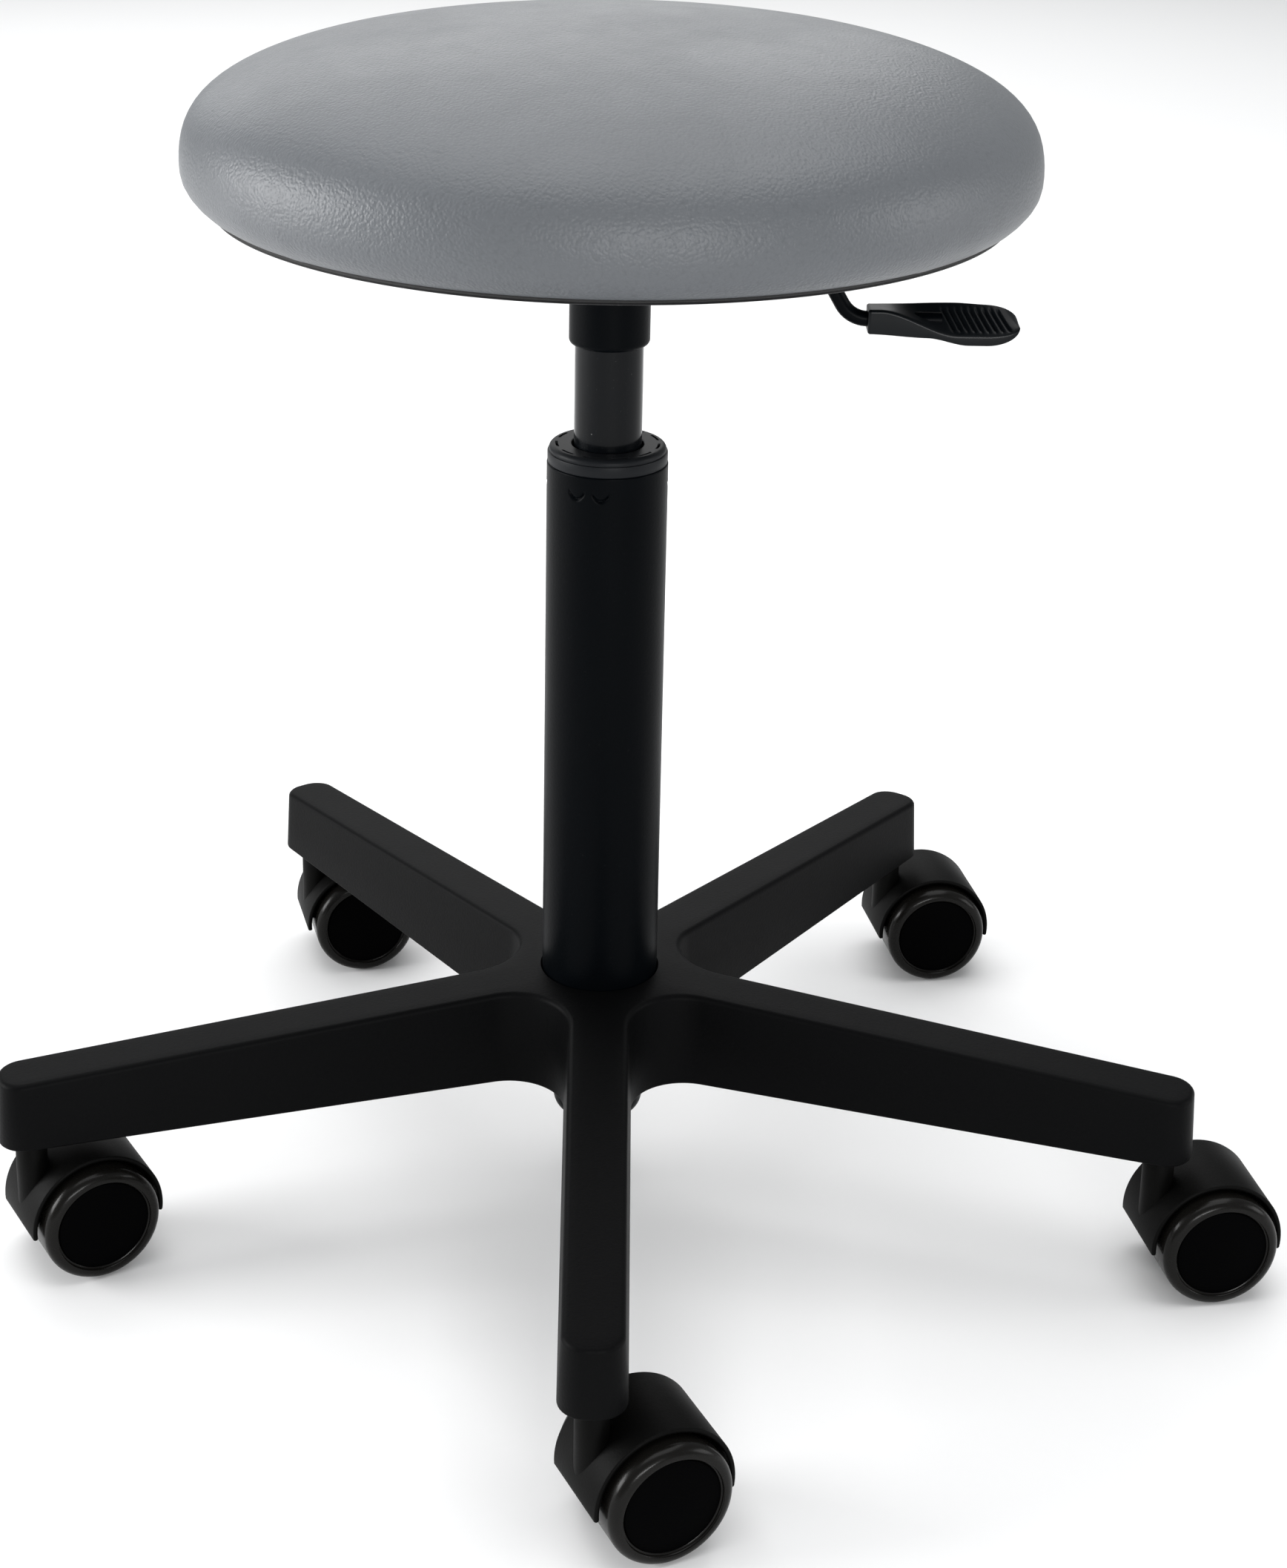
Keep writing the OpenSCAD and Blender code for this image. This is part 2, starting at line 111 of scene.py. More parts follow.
def ease(t):
    t = min(max(t, 0.0), 1.0)
    return t * t * (3 - 2 * t)


def through(knots, x):
    """The value at x of an eased line through (x, value) knots."""
    if x <= knots[0][0]:
        return knots[0][1]
    for (x0, v0), (x1, v1) in zip(knots, knots[1:]):
        if x <= x1:
            return blend(v0, v1, ease((x - x0) / (x1 - x0)))
    return knots[-1][1]


def arc(centre, radius, start, end, steps):
    """Points on an arc, from start to end in degrees."""
    angles = [math.radians(blend(start, end, i / steps)) for i in range(steps + 1)]
    return [(centre[0] + radius * math.cos(a), centre[1] + radius * math.sin(a)) for a in angles]


# ---- Meshes ----

class Form:
    """Points in millimetres and faces of one piece."""

    def __init__(self):
        self.points = []
        self.faces = []

    def row(self, points):
        start = len(self.points)
        self.points.extend(Vector(p) for p in points)
        return list(range(start, len(self.points)))

    def join(self, a, b, closed=True):
        """Quads between two rows that have the same number of points."""
        count = len(a)
        for i in range(count if closed else count - 1):
            j = (i + 1) % count
            self.faces.append((a[i], a[j], b[j], b[i]))

    def skin(self, rows, caps=False):
        """Quads along a list of rows, with caps on the first and last."""
        made = [self.row(r) for r in rows]
        for a, b in zip(made, made[1:]):
            self.join(a, b)
        if caps:
            self.faces.append(tuple(reversed(made[0])))
            self.faces.append(tuple(made[-1]))
        return made

    def turn(self, outline, steps=128, place=None, shift=None):
        """Turns (radius, height) points about Z. shift moves a point by its angle, radius and height."""
        place = place or Matrix.Identity(4)
        rows = []
        for i in range(steps):
            a = math.tau * i / steps
            row = []
            for r, z in outline:
                r2, z2 = shift(a, r, z) if shift else (r, z)
                row.append(place @ Vector((r2 * math.cos(a), r2 * math.sin(a), z2)))
            rows.append(row)
        made = [self.row(r) for r in rows]
        for i in range(steps):
            self.join(made[i], made[(i + 1) % steps], closed=False)

    def sheet(self, loops, inside, height, keep):
        """Triangles over flat loops and inside points, lifted by height(x, y) where keep(x, y)."""
        flat = []
        edges = []
        for loop in loops:
            start = len(flat)
            flat.extend(Vector((p[0], p[1])) for p in loop)
            edges.extend((start + i, start + (i + 1) % len(loop)) for i in range(len(loop)))
        flat.extend(Vector(p) for p in inside)
        points, _, faces = delaunay_2d_cdt(flat, edges, [], 1, 1e-5)[:3]
        made = self.row([(p.x, p.y, height(p.x, p.y)) for p in points])
        for face in faces:
            x = sum(points[i].x for i in face) / len(face)
            y = sum(points[i].y for i in face) / len(face)
            if keep(x, y):
                self.faces.append(tuple(made[i] for i in face))

    def piece(self, name, material, body, stands_for=(), sharp=35):
        mesh = bpy.data.meshes.new(name)
        mesh.from_pydata([p * MM for p in self.points], [], self.faces)
        work = bmesh.new()
        work.from_mesh(mesh)
        bmesh.ops.remove_doubles(work, verts=work.verts, dist=2e-6)
        bmesh.ops.dissolve_degenerate(work, edges=work.edges, dist=1e-7)
        loose = [v for v in work.verts if not v.link_faces]
        bmesh.ops.delete(work, geom=loose, context="VERTS")
        bmesh.ops.recalc_face_normals(work, faces=work.faces)
        work.to_mesh(mesh)
        work.free()
        return finish_piece(name, mesh, material, body, stands_for, sharp)


def finish_piece(name, mesh, material, body, stands_for, sharp=35):
    mesh.shade_smooth()
    mesh.set_sharp_from_angle(angle=math.radians(sharp))
    mesh.materials.clear()
    mesh.materials.append(material)
    obj = bpy.data.objects.new(name, mesh)
    bpy.context.scene.collection.objects.link(obj)
    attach(obj, body)
    if stands_for:
        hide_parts(*stands_for)
    return obj


# ---- Shader maths ----

class Value:
    """A shader socket. Sums on it add Math nodes."""

    def __init__(self, shader, socket):
        self.shader = shader
        self.socket = socket

    def sum_with(self, kind, a, b):
        return self.shader.node("ShaderNodeMath", {"operation": kind}, {0: a, 1: b})

    def __add__(self, other):
        return self.sum_with("ADD", self, other)

    def __radd__(self, other):
        return self.sum_with("ADD", other, self)

    def __sub__(self, other):
        return self.sum_with("SUBTRACT", self, other)

    def __rsub__(self, other):
        return self.sum_with("SUBTRACT", other, self)

    def __mul__(self, other):
        return self.sum_with("MULTIPLY", self, other)

    def __rmul__(self, other):
        return self.sum_with("MULTIPLY", other, self)


class Shader:
    """A principled material with constants set straight on its sockets."""

    def __init__(self, name, constants):
        self.material = bpy.data.materials.new(name)
        self.material.use_nodes = True
        self.tree = self.material.node_tree
        self.surface = self.tree.nodes["Principled BSDF"]
        self.place = self.node("ShaderNodeTexCoord", out="Object")
        for socket, value in constants.items():
            self.surface.inputs[socket].default_value = value

    def node(self, kind, settings=None, inputs=None, out=0):
        made = self.tree.nodes.new(kind)
        for name, value in (settings or {}).items():
            setattr(made, name, value)
        for name, value in (inputs or {}).items():
            self.feed(made.inputs[name], value)
        return Value(self, made.outputs[out])

    def feed(self, socket, value):
        if isinstance(value, Value):
            self.tree.links.new(value.socket, socket)
        else:
            socket.default_value = value

    def set(self, **inputs):
        """Feeds varying sockets, such as Base_Color."""
        for name, value in inputs.items():
            self.feed(self.surface.inputs[name.replace("_", " ")], value)

    def stretched(self, along):
        """The place, scaled by a vector, for grain that runs one way."""
        return self.node("ShaderNodeVectorMath", {"operation": "MULTIPLY"}, {0: self.place, 1: along})

    def noise(self, size, detail=2.0, rough=0.5, place=None):
        """Cloudy grain from 0 to 1, size in millimetres."""
        scale = 1 / (size * MM)
        inputs = {"Vector": place or self.place, "Scale": scale, "Detail": detail, "Roughness": rough}
        return self.node("ShaderNodeTexNoise", None, inputs)

    def cells(self, size, feature="F1", place=None, jitter=1.0):
        """Distance within cells that are size millimetres across."""
        inputs = {"Vector": place or self.place, "Scale": 1 / (size * MM), "Randomness": jitter}
        return self.node("ShaderNodeTexVoronoi", {"feature": feature}, inputs)

    def between(self, value, low, high):
        """0 below low, 1 above high, eased between."""
        inputs = {"Value": value, "From Min": low, "From Max": high}
        return self.node("ShaderNodeMapRange", {"interpolation_type": "SMOOTHSTEP"}, inputs)

    def tint(self, low, high, factor):
        """A colour from low to high by factor."""
        inputs = {0: factor, 6: (*low, 1), 7: (*high, 1)}
        return self.node("ShaderNodeMix", {"data_type": "RGBA", "clamp_factor": True}, inputs, out=2)

    def over(self, colour, high, factor):
        """high laid over a colour that is already a socket."""
        inputs = {0: factor, 6: colour, 7: (*high, 1)}
        return self.node("ShaderNodeMix", {"data_type": "RGBA", "clamp_factor": True}, inputs, out=2)

    def bump(self, height, depth, onto=None):
        """A normal from a height of 0 to 1, depth in millimetres."""
        inputs = {"Height": height, "Distance": depth * MM, "Strength": 1.0}
        if onto is not None:
            inputs["Normal"] = onto
        return self.node("ShaderNodeBump", None, inputs)

    def up(self):
        """How far the surface faces upwards, -1 to 1."""
        normal = self.node("ShaderNodeNewGeometry", out="Normal")
        return self.node("ShaderNodeSeparateXYZ", None, {0: normal}, out=2)


def shade(colour, factor):
    return tuple(c * factor for c in colour)


# ---- Materials ----

def grey_vinyl(colour, grain):
    """Pressed fine-grain vinyl with a satin skin, rubbed a little smoother in broad patches."""
    make = Shader("grey_vinyl", {"Specular IOR Level": 0.42})
    warp = make.noise(grain * 2.6, 2)
    wander = 0.0012
    shifted = make.node("ShaderNodeMix", {"data_type": "VECTOR"}, {0: wander, 4: make.place, 5: warp}, out=1)
    pebble = make.cells(grain, "SMOOTH_F1", shifted)
    fine = make.noise(grain * 0.35, 3)
    broad = make.noise(45, 2)
    worn = make.between(make.noise(90, 3), 0.42, 0.66)
    crease = make.between(make.noise(14, 4, 0.6), 0.35, 0.7)
    tone = make.tint(shade(colour, 0.94), shade(colour, 1.06), broad)
    # Painted shade: each pebble is darkened towards its edge, in the hollows between pebbles.
    tone = make.over(tone, shade(colour, 0.80), make.between(pebble, 0.42, 0.85) * 0.55)
    make.set(
        Base_Color=tone,
        Roughness=0.38 + fine * 0.10 - worn * 0.05 + crease * 0.03,
        Normal=make.bump(fine, 0.06, make.bump(1 - pebble, 0.26)),
    )
    return make.material


def black_cloth(colour):
    """Spun-bonded cloth: crossed fibres, no shine."""
    make = Shader("black_spun_cloth", {"Specular IOR Level": 0.2, "Sheen Weight": 0.25})
    fibre = make.noise(0.9, 4, 0.7, make.stretched((1, 0.25, 1)))
    other = make.noise(0.9, 4, 0.7, make.stretched((0.25, 1, 1)))
    dots = make.between(make.cells(2.4, jitter=0.25), 0.16, 0.3)
    make.set(
        Base_Color=make.tint(shade(colour, 0.7), shade(colour, 1.8), fibre * other * 2),
        Roughness=0.85 + fibre * 0.1,
        Normal=make.bump(fibre + other + dots * 0.8, 0.12),
    )
    return make.material


def powder_coat(name, colour, roughness, texture=0.05):
    """Baked powder coat: orange peel, cloudy tone and fine dust."""
    make = Shader(name, {"Specular IOR Level": 0.035})
    peel = make.noise(1.3, 2)
    fine = make.noise(0.35, 3)
    cloud = make.noise(28, 4, 0.6)
    dust = make.between(make.noise(2.2, 5, 0.75), 0.64, 0.8)
    tone = make.tint(shade(colour, 0.85), shade(colour, 1.2), cloud)
    make.set(
        Base_Color=make.over(tone, (0.10, 0.10, 0.10), dust * 0.10),
        Roughness=roughness + cloud * 0.08 + dust * 0.1,
        Normal=make.bump(fine, texture * 0.3, make.bump(peel, texture)),
    )
    return make.material


def greased_gloss(colour):
    """Polished black cylinder wall with a film of grease: fine rings, specks and smears."""
    make = Shader("greased_black", {"Specular IOR Level": 0.09, "Coat Roughness": 0.06})
    rings = make.noise(0.5, 2, 0.5, make.stretched((0.02, 0.02, 1)))
    smear = make.between(make.noise(9, 4, 0.6, make.stretched((1, 1, 0.35))), 0.5, 0.75)
    speck = make.between(make.cells(5.5), 0.055, 0.02)
    flake = make.between(make.noise(0.8, 3, 0.7), 0.70, 0.78)
    tone = make.tint(colour, shade(colour, 1.5), smear)
    tone = make.over(tone, (0.34, 0.34, 0.33), speck * 0.55)
    tone = make.over(tone, (0.30, 0.30, 0.29), flake * 0.5)
    make.set(
        Base_Color=tone,
        Roughness=0.17 + smear * 0.13 + speck * 0.2,
        Coat_Weight=0.05 - smear * 0.04,
        Normal=make.bump(speck + flake * 0.6, 0.06, make.bump(rings, 0.006)),
    )
    return make.material


def moulded_nylon(name, colour, roughness, grain, depth, gloss=0.055):
    """Glass-filled nylon from a spark-eroded mould: even grain, and pale scuff patches only on upward faces,
    partly wear and partly a painted sheen on the tops.
    """
    make = Shader(name, {"Specular IOR Level": gloss})
    spark = make.noise(grain, 3, 0.6)
    pits = make.cells(grain * 1.7, "F1")
    flow = make.noise(34, 3, 0.55)
    scuff_and_top_sheen = make.between(make.noise(3.2, 6, 0.8, make.stretched((1, 0.4, 1))), 0.63, 0.74)
    top = make.between(make.up(), 0.5, 0.98)
    tone = make.tint(shade(colour, 0.82), shade(colour, 1.18), flow)
    # Pale scuff patches laid only where the surface faces up: partly wear, partly a painted sheen that makes the
    # tops lighter than the sides.
    tone = make.over(tone, shade(colour, 2.6), scuff_and_top_sheen * top * 0.22)
    make.set(
        Base_Color=tone,
        Roughness=roughness + spark * 0.10 - scuff_and_top_sheen * top * 0.08 + flow * 0.05,
        Normal=make.bump(spark, depth, make.bump(pits, depth * 0.6)),
    )
    return make.material


def glossy_plastic(name, colour, roughness, coat=0.3):
    """Hard glossy plastic with hairline scratches and a little handling haze."""
    make = Shader(name, {"Specular IOR Level": 0.11, "Coat Roughness": 0.12})
    haze = make.noise(11, 4, 0.6)
    hair = make.between(make.noise(0.7, 3, 0.6, make.stretched((0.05, 1, 0.6))), 0.60, 0.7)
    fine = make.noise(0.25, 2)
    tone = make.tint(shade(colour, 0.88), shade(colour, 1.12), haze)
    make.set(
        Base_Color=make.over(tone, shade(colour, 2), hair * 0.2),
        Roughness=roughness + haze * 0.10 + hair * 0.12,
        Coat_Weight=coat * (1 - hair * 0.5),
        Normal=make.bump(fine, 0.006, make.bump(haze, 0.05)),
    )
    return make.material


def plated_steel(name, colour, roughness, turned=0.35):
    """Zinc-plated or machined steel: fine tool marks, dull clouding, dark specks."""
    make = Shader(name, {"Metallic": 1.0})
    marks = make.noise(0.28, 2, 0.6, make.stretched((0.15, 0.15, 1)))
    cloud = make.noise(6, 5, 0.65)
    stain = make.between(make.noise(1.8, 4, 0.7), 0.66, 0.8)
    tone = make.tint(shade(colour, 0.78), shade(colour, 1.05), cloud)
    make.set(
        Base_Color=make.over(tone, shade(colour, 0.4), stain * 0.4),
        Roughness=roughness + cloud * 0.15 + stain * 0.15,
        Normal=make.bump(marks, 0.02 * turned, make.bump(cloud, 0.02)),
    )
    return make.material


def open_foam(colour):
    make = Shader("seat_foam_cells", {"Specular IOR Level": 0.1})
    cell = make.cells(1.1, "DISTANCE_TO_EDGE")
    make.set(
        Base_Color=make.tint(shade(colour, 0.7), colour, make.between(cell, 0.02, 0.25)),
        Roughness=0.9 + cell * 0.1,
        Normal=make.bump(1 - cell, 0.4),
    )
    return make.material


def birch_board(colour):
    make = Shader("birch_plywood", {"Specular IOR Level": 0.3})
    plies = make.noise(1.6, 2, 0.5, make.stretched((0.05, 0.05, 1)))
    fibre = make.noise(1.2, 5, 0.7, make.stretched((0.06, 1, 1)))
    tone = make.tint(shade(colour, 0.6), shade(colour, 1.1), make.between(plies, 0.35, 0.65))
    make.set(
        Base_Color=make.over(tone, shade(colour, 0.5), fibre * 0.3),
        Roughness=0.6 + fibre * 0.25,
        Normal=make.bump(fibre, 0.12),
    )
    return make.material


def soft_rubber(colour):
    make = Shader("buffer_rubber", {"Specular IOR Level": 0.3})
    bloom = make.noise(5, 4, 0.6)
    fine = make.noise(0.5, 3)
    make.set(
        Base_Color=make.tint(colour, shade(colour, 2.2), bloom),
        Roughness=0.7 + bloom * 0.2,
        Normal=make.bump(fine, 0.05),
    )
    return make.material


def stage_paper(colour):
    make = Shader("stage_paper", {"Specular IOR Level": 0.1})
    fleck = make.noise(4, 4, 0.6)
    make.set(Base_Color=make.tint(shade(colour, 0.99), colour, fleck), Roughness=0.9 + fleck * 0.05)
    return make.material


FINISHES = {}


def finish_named(name):
    """The material of one of the record's slots, made once."""
    if name not in FINISHES:
        look = bpy.context.scene.stool_colours
        ways = {
            "vinyl": lambda: grey_vinyl(look.vinyl, look.grain),
            "foam": lambda: open_foam((0.82, 0.77, 0.55)),
            "plywood": lambda: birch_board((0.60, 0.44, 0.26)),
            "dust_cloth": lambda: black_cloth(look.cloth),
            "black_paint": lambda: powder_coat("black_powder_coat", look.paint, 0.34),
            "cylinder_black": lambda: greased_gloss(look.cylinder),
            "lever_black": lambda: powder_coat("lever_black", look.lever, 0.30, 0.03),
            "zinc": lambda: plated_steel("zinc_plate", (0.60, 0.60, 0.58), 0.30),
            "chromed_rod": lambda: plated_steel("hard_chrome", (0.70, 0.70, 0.70), 0.08, 0.1),
            "brass": lambda: plated_steel("turned_brass", (0.68, 0.50, 0.22), 0.22),
            "rubber": lambda: soft_rubber((0.025, 0.025, 0.025)),
            "base_nylon": lambda: moulded_nylon("base_nylon", look.base, 0.46, 0.9, 0.05),
            "caster_nylon": lambda: moulded_nylon("caster_nylon", look.caster, 0.44, 0.7, 0.035),
            "disc_plastic": lambda: moulded_nylon("disc_plastic", look.disc, 0.50, 0.5, 0.02, 0.015),
            "guide_plastic": lambda: moulded_nylon("guide_acetal", look.sleeve, 0.36, 0.5, 0.015, 0.10),
            "pale_plastic": lambda: moulded_nylon("natural_nylon", (0.66, 0.63, 0.55), 0.45, 0.7, 0.02),
            "tyre_grey": lambda: glossy_plastic("tyre_polyurethane", look.tyre, 0.22, 0.06),
            "paddle_grey": lambda: glossy_plastic("paddle_plastic", look.paddle, 0.30, 0.06),
        }
        FINISHES[name] = ways[name]()
    return FINISHES[name]


# ---- Shapes ----

def seat_profile(count):
    """Outer line of the cover from the crown to the turned-in edge, evenly spaced (radius, height)."""
    wide = SEAT_HIGH.x
    low = CLOTH_LOW.z + 0.95
    middle = SEAT_LOW.z + 12.7
    rim = CLOTH_HIGH.x + 0.6
    crown = SEAT_HIGH.z
    power = 3.2
    line = []
    for i in range(241):
        u = math.cos(math.radians(90 * i / 240))
        line.append((wide * math.sqrt(max(1 - u ** power, 0)), middle + (crown - middle) * u))
    for i in range(1, 41):
        a = math.radians(90 - 90 * i / 40)
        line.append((rim + (wide - rim) * math.sin(a), middle - (middle - low) * i / 40))
    line.append((rim - 2, low))
    line.append((140, low))
    lengths = [0.0]
    for a, b in zip(line, line[1:]):
        lengths.append(lengths[-1] + math.dist(a, b))
    out = []
    j = 0
    for i in range(count + 1):
        want = lengths[-1] * i / count
        while j < len(line) - 2 and lengths[j + 1] < want:
            j += 1
        t = (want - lengths[j]) / (lengths[j + 1] - lengths[j])
        out.append((blend(line[j][0], line[j + 1][0], t), blend(line[j][1], line[j + 1][1], t)))
    return out


def seat_grid(rings):
    """The cover's skin as rings of quads with no pole: points in metres, faces, and each point's ring."""
    profile = seat_profile(rings)
    points = []
    ring_of = []
    index = {}
    for i in range(-rings, rings + 1):
        for j in range(-rings, rings + 1):
            if abs(i) >= abs(j):
                k = i
                a = math.pi / 4 * j / i if i else 0.0
            else:
                k = j
                a = math.pi / 2 - math.pi / 4 * i / j
            side = -1 if k < 0 else 1
            r, z = profile[abs(k)]
            index[i, j] = len(points)
            points.append(Vector((side * r * math.cos(a), side * r * math.sin(a), z)) * MM)
            ring_of.append(abs(k))
    faces = []
    for i in range(-rings, rings):
        for j in range(-rings, rings):
            faces.append((index[i, j], index[i + 1, j], index[i + 1, j + 1], index[i, j + 1]))
    return points, faces, ring_of


def pad_out(obj, resting, held_from, ring_of):
    """Blows the skin out over the foam as cloth. The foam holds every point at its resting place or above."""
    held = obj.vertex_groups.new(name="held")
    held.add([i for i, ring in enumerate(ring_of) if ring >= held_from], 1.0, "REPLACE")
    cloth = obj.modifiers.new("cover", "CLOTH")
    cloth.settings.quality = 5
    cloth.settings.mass = 0.35
    cloth.settings.tension_stiffness = 22
    cloth.settings.compression_stiffness = 18
    cloth.settings.bending_stiffness = 2.5
    cloth.settings.use_pressure = True
    cloth.settings.uniform_pressure_force = 4
    cloth.settings.vertex_group_mass = "held"
    cloth.settings.effector_weights.gravity = 0
    frames = 20
    cloth.point_cache.frame_start = 1
    cloth.point_cache.frame_end = frames
    scene = bpy.context.scene
    for step in range(1, frames + 1):
        scene.frame_set(step)
    shaped = obj.evaluated_get(bpy.context.evaluated_depsgraph_get())
    places = [v.co.copy() for v in shaped.data.vertices]
    obj.modifiers.clear()
    scene.frame_set(1)
    most = 1.0 * MM
    heart = Vector((0, 0, blend(SEAT_LOW.z, SEAT_HIGH.z, 0.3) * MM))
    normals = [v.normal.copy() for v in obj.data.vertices]
    for vertex, place, rest, normal in zip(obj.data.vertices, places, resting, normals):
        outward = normal if normal.dot(rest - heart) > 0 else -normal
        out = (place - rest).dot(outward)
        vertex.co = rest + outward * max(0, min(out, most))
    obj.vertex_groups.clear()


def make_seat_cover():
    rings = 34
    points, faces, ring_of = seat_grid(rings)
    profile = seat_profile(rings)
    held_from = next(i for i, p in enumerate(profile) if i > 20 and p[1] < SEAT_LOW.z + 4)
    mesh = bpy.data.meshes.new("seat_cover_skin")
    start = [Vector((p.x * 0.999, p.y * 0.999, blend(SEAT_LOW.z * MM, p.z, 0.997))) for p in points]
    mesh.from_pydata(start, [], faces)
    obj = bpy.data.objects.new("seat_cover_skin", mesh)
    bpy.context.scene.collection.objects.link(obj)
    pad_out(obj, points, held_from, ring_of)
    for vertex, ring in zip(mesh.vertices, ring_of):
        x, y = vertex.co.x, vertex.co.y
        a = math.atan2(y, x)
        near = ease((ring - held_from + 3) / 5)
        pucker = math.sin(37 * a + 1.3) + 0.7 * math.sin(53 * a + 0.4) + 0.5 * math.sin(71 * a)
        gathered = pucker * 0.10 if ring < rings - 3 else 0
        swell = math.sin(2 * a + 0.6) * math.cos(18 * (x * x + y * y)) * 0.25
        vertex.co.z += blend(swell, gathered, near) * MM
    finer = obj.modifiers.new("finer", "SUBSURF")
    finer.levels = 1
    finer.render_levels = 1
    thick = obj.modifiers.new("thick", "SOLIDIFY")
    thick.thickness = 1.2 * MM
    thick.offset = -1
    shown = obj.evaluated_get(bpy.context.evaluated_depsgraph_get())
    result = bpy.data.meshes.new_from_object(shown)
    bpy.data.objects.remove(obj)
    work = bmesh.new()
    work.from_mesh(result)
    bmesh.ops.recalc_face_normals(work, faces=work.faces)
    work.to_mesh(result)
    work.free()
    vinyl = finish_named("vinyl")
    cover = finish_piece("seat_cover_padded", result, vinyl, "seat", ["seat_cover"], 50)


def make_dust_cloth():
    """Black cloth over the seat's underside: a turned hem, staples, and puckers between them."""
    low = CLOTH_LOW.z
    edge = CLOTH_HIGH.x
    staples = 44
    face = low + 0.3
    outline = [(0.4, face + 0.05), (40, face), (90, face), (edge - 26, face), (edge - 14, face)]
    outline += [(edge - 12.4, low + 0.15), (edge - 11.6, low), (edge - 7, low), (edge - 3, low)]
    outline += arc((edge - 0.45, low + 0.45), 0.45, -90, 90, 6)
    outline += [(edge - 3, low + 0.9), (edge - 12, low + 0.9), (90, low + 0.9), (0.4, low + 0.9)]

    def puckered(a, r, z):
        if z > low + 0.5 or r < edge - 30:
            return r, z
        wave = 0.5 + 0.5 * math.cos(staples * a)
        return r, z + 0.22 * wave * ease((r - edge + 30) / 18) * ease((edge - 1 - r) / 3)

    form = Form()
    form.turn(outline, staples * 6, shift=puckered)
    black = finish_named("dust_cloth")
    cloth = form.piece("dust_cloth_stretched", black, "seat", ["dust_cover"], 60)

    wires = Form()
    for i in range(staples):
        turn = Matrix.Rotation(math.tau * (i + 0.5) / staples, 4, "Z")
        place = turn @ Matrix.Translation((edge - 7.5, 0, low))
        rows = []
        for y in (-5, -4.4, 4.4, 5):
            lift = 0.25 if abs(y) > 4.7 else 0.0
            wire = ((-0.6, 0), (0.6, 0), (0.6, 0.5), (-0.6, 0.5))
            rows.append([place @ Vector((x, y, z + lift)) for x, z in wire])
        wires.skin(rows, caps=True)
    wires.piece("dust_cloth_staples", finish_named("zinc"), "seat", (), 30)


def make_column_tube():
    r = TUBE_R
    top = TUBE_HIGH.z
    foot = TUBE_LOW.z
    low_r = r - TAPER
    foot_r = 19.5
    bend = 7
    dents = [math.radians(a) for a in (-120, -96, 0, 90, 180)]
    dent_z = top - 8

    def dented(a, at_r, z):
        """Presses a shallow smile-shaped crimp at each of the dents."""
        for middle in dents:
            away = (a - middle + math.pi) % math.tau - math.pi
            across = away * r
            bow = z - dent_z + 1.8 - 2.6 * (across / 3.4) ** 2
            if at_r > r - 1 and abs(across) < 4:
                at_r -= 0.85 * ease(1 - abs(bow) / 1.2) * ease((4 - abs(across)) / 0.9)
        return at_r, z

    rise = [(r, z) for z in [HUB_TOP + (dent_z - 7 - HUB_TOP) * i / 12 for i in range(13)]]
    fine = [(r, dent_z - 7 + 14 * i / 28) for i in range(1, 29)]
    rod_hole = 3.6
    outline = [(rod_hole, foot)]
    outline += arc((foot_r - bend, foot + bend), bend, -90, 0, 10)
    outline += [(foot_r, ARM_UNDER - 8), (low_r - 0.4, ARM_UNDER - 1.4), (low_r, ARM_UNDER)]
    outline += rise + fine
    outline += arc((r - 0.6, top - 0.6), 0.6, 0, 90, 4)
    wall = 1.5
    outline += [(r - wall + 0.05, top), (r - wall, top - 0.3), (r - wall, HUB_TOP), (low_r - wall, ARM_UNDER)]
    outline += [(foot_r - wall, ARM_UNDER - 7.4), (foot_r - wall, foot + 5), (foot_r - 4, foot + 3)]
    outline.append((rod_hole, foot + 3))
    outline.append(outline[0])
    form = Form()
    form.turn(outline, 360, shift=dented)
    form.piece("column_tube_drawn", finish_named("black_paint"), "base", ["column_tube"])


def make_guide_sleeve():
    r = TUBE_R
    top = SLEEVE_HIGH.z
    tube_top = TUBE_HIGH.z
    bore = CYLINDER_R + 0.06
    mouth = CYLINDER_R + 0.85
    wall = r - 1.53
    slots = 11
    pitch = 360 / slots
    half = 9.5
    first = -43
    slot_in, slot_out = 20.6, 21.5

    def slotted(a, at_r, z):
        away = (math.degrees(a) - first + pitch / 2) % pitch - pitch / 2
        if z > top - 0.01 and slot_in - 0.01 <= at_r <= slot_out + 0.01 and abs(away) < half:
            return at_r, z - 1.2
        return at_r, z

    low = SLEEVE_LOW.z
    outline = [(bore, low), (wall, low), (wall, tube_top), (r - 0.35, tube_top + 0.02)]
    outline += arc((r - 0.75, tube_top + 0.55), 0.5, -60, 30, 3)
    outline += [(r - 0.22, tube_top + 1.3), (r - 0.22, top - 3.3), (r - 0.35, top - 2.9)]
    outline += [(r - 0.85, top - 2.75), (r - 0.85, top - 2.45)]
    outline += arc((r - 3.0, top - 2.2), 2.2, 0, 84, 7)
    outline += [(slot_out + 0.12, top), (slot_out, top), (slot_in, top), (slot_in - 0.1, top)]
    outline += [(blend(slot_in - 0.2, mouth + 0.6, i / 5), top) for i in range(1, 6)]
    outline += arc((mouth + 0.5, top - 0.5), 0.5, 90, 180, 3)
    outline += [(mouth, top - 4), (bore, top - 4)]
    outline.append(outline[0])
    form = Form()
    form.turn(outline, 360, shift=slotted)
    acetal = finish_named("guide_plastic")
    form.piece("guide_sleeve_cap", acetal, "base", ["guide_sleeve"], 30)


